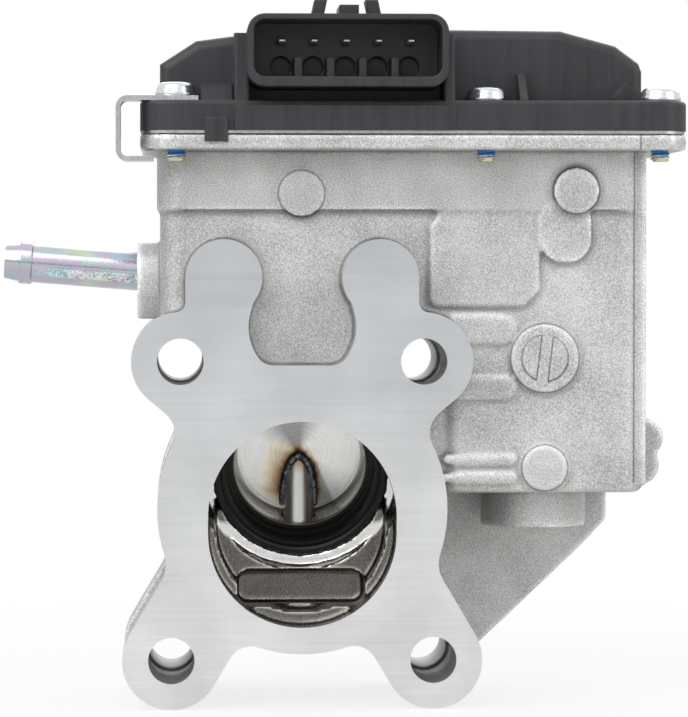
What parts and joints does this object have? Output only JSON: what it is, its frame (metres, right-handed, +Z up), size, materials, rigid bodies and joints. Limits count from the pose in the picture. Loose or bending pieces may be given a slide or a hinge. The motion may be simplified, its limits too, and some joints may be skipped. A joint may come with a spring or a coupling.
{
  "type": "egr valve",
  "caption": "Motor-driven exhaust gas flap valve: cast body with two flanges, welded flap on a shaft, gear train under a plastic cover with its connector.",
  "frame": {"origin": "centre of the gas port in the front flange's face", "axes": "+Y from the front flange to the rear one, +Z up along the valve shaft towards the gear cover, +X towards the motor"},
  "size_m": [0.1335, 0.0636, 0.1365],
  "materials": {
    "cast_aluminium": "as cast, fine grain",
    "steel": "ground",
    "turned_steel": "turned",
    "dark_steel": "turned, darkened by heat",
    "weld_steel": "weld bead",
    "bronze": "sintered",
    "seal_rubber": "matt",
    "gear_plastic": "moulded nylon",
    "cover_plastic": "satin black moulding",
    "magnet": "sintered",
    "copper": "enamelled wire",
    "brush_carbon": "carbon",
    "tin_plate": "tin plated",
    "zinc_steel": "zinc plated",
    "gasket_metal": "layered steel with a dark coating",
    "spring_steel": "drawn wire"
  },
  "bodies": {
    "housing": {"valve_body": "cast_aluminium", "nozzle_ring": "dark_steel", "lower_bushing": "bronze", "lower_plug": "zinc_steel", "upper_bushing": "bronze", "shaft_seal": "seal_rubber", "bearing_outer_ring": "steel", "bearing_balls": "steel", "intermediate_pin": "steel", "gear_washer": "gear_plastic", "return_spring": "spring_steel", "motor_can": "zinc_steel", "motor_magnets": "magnet", "motor_end_cap": "cover_plastic", "motor_plate": "zinc_steel", "motor_screws": "zinc_steel", "wave_washer": "spring_steel", "motor_bushings": "bronze", "motor_brushes": "brush_carbon", "motor_terminals": "tin_plate", "motor_contacts": "tin_plate", "gear_cover": "cover_plastic", "connector_pins": "tin_plate", "hall_sensor": "cover_plastic", "cover_gasket": "gasket_metal", "cover_sleeves": "zinc_steel", "cover_screws": "zinc_steel", "retaining_clip": "zinc_steel", "coolant_nipple": "zinc_steel"},
    "valve": {"valve_shaft": "steel", "valve_disc": "turned_steel", "seal_ring": "dark_steel", "disc_weld": "weld_steel", "bearing_inner_ring": "steel", "valve_gear": "gear_plastic", "gear_insert": "zinc_steel", "sensor_magnets": "magnet", "magnet_yoke": "zinc_steel"},
    "intermediate": {"intermediate_gear": "gear_plastic"},
    "rotor": {"motor_shaft": "steel", "motor_armature": "dark_steel", "motor_windings": "copper", "motor_commutator": "copper", "motor_pinion": "bronze"}
  },
  "joints": [
    {"name": "valve_turn", "type": "hinge", "parent": "housing", "child": "valve", "pos_m": [0, 0.025, 0.0138], "axis": [0, 0, -1], "range_deg": [0, 90], "stiffness_Nm_per_rad": 0.02, "springref_deg": -28.65},
    {"name": "intermediate_turn", "type": "hinge", "parent": "housing", "child": "intermediate", "pos_m": [0.02572, 0.02941, 0.0705], "axis": [0, 0, -1], "range_deg": [-442, 0.1]},
    {"name": "motor_turn", "type": "hinge", "parent": "housing", "child": "rotor", "pos_m": [0.04741, 0.02851, 0.0705], "axis": [0, 0, -1], "range_deg": [-0.1, 1728]}
  ],
  "couplings": [
    {"joint": "intermediate_turn", "follows": "valve_turn", "ratio": -4.9091},
    {"joint": "motor_turn", "follows": "valve_turn", "ratio": 19.19}
  ]
}
